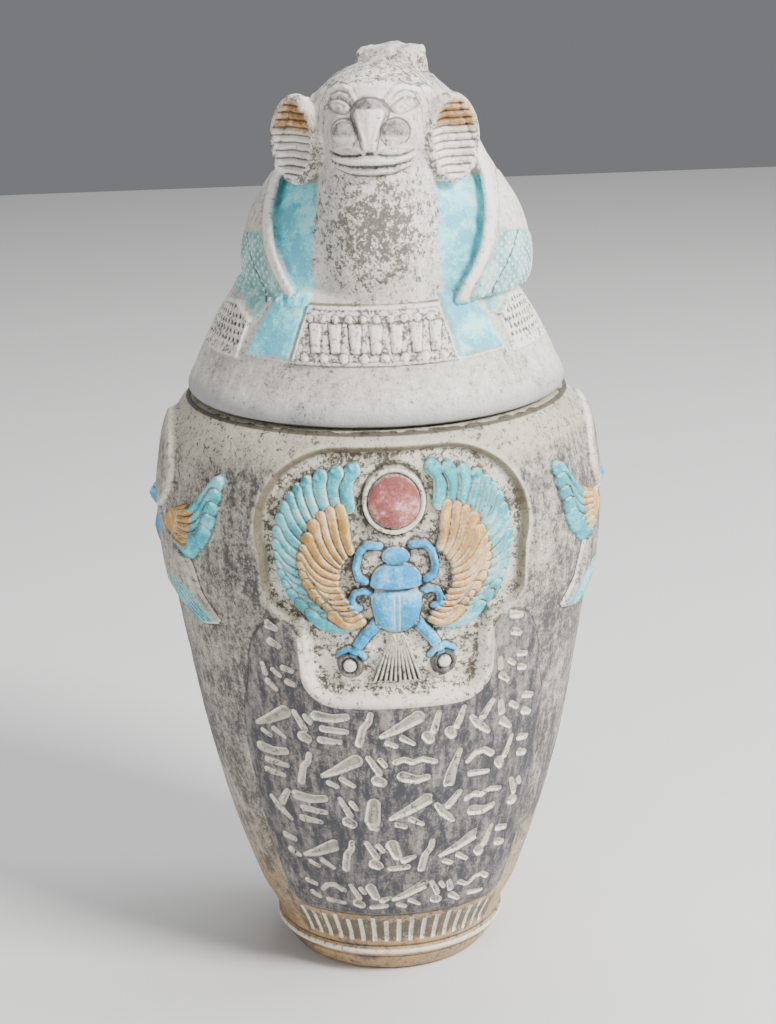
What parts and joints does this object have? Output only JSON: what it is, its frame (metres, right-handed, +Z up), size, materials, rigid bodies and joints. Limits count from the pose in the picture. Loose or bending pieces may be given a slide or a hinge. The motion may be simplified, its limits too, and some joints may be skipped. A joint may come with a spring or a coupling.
{
  "type": "canopic jar",
  "caption": "hollow carved stone jar that tapers to a small foot, with a winged scarab panel, rows of marks, and a lift-off lid shaped as a baboon's head and mantle",
  "frame": {"origin": "the middle of the round flat underside that the jar stands on, on the axis of the jar's body", "axes": "+Z up along the axis of the jar, -Y out through the scarab panel at the front, +X to the viewer's right"},
  "size_m": [0.138, 0.1299, 0.28],
  "materials": {
    "jar_stone": "carved dark grey stone rubbed with cream dust, with painted relief",
    "lid_stone": "carved grey and cream stone with worn pale blue paint"
  },
  "bodies": {
    "root": {"jar": "jar_stone", "lid": "lid_stone"}
  },
  "joints": []
}
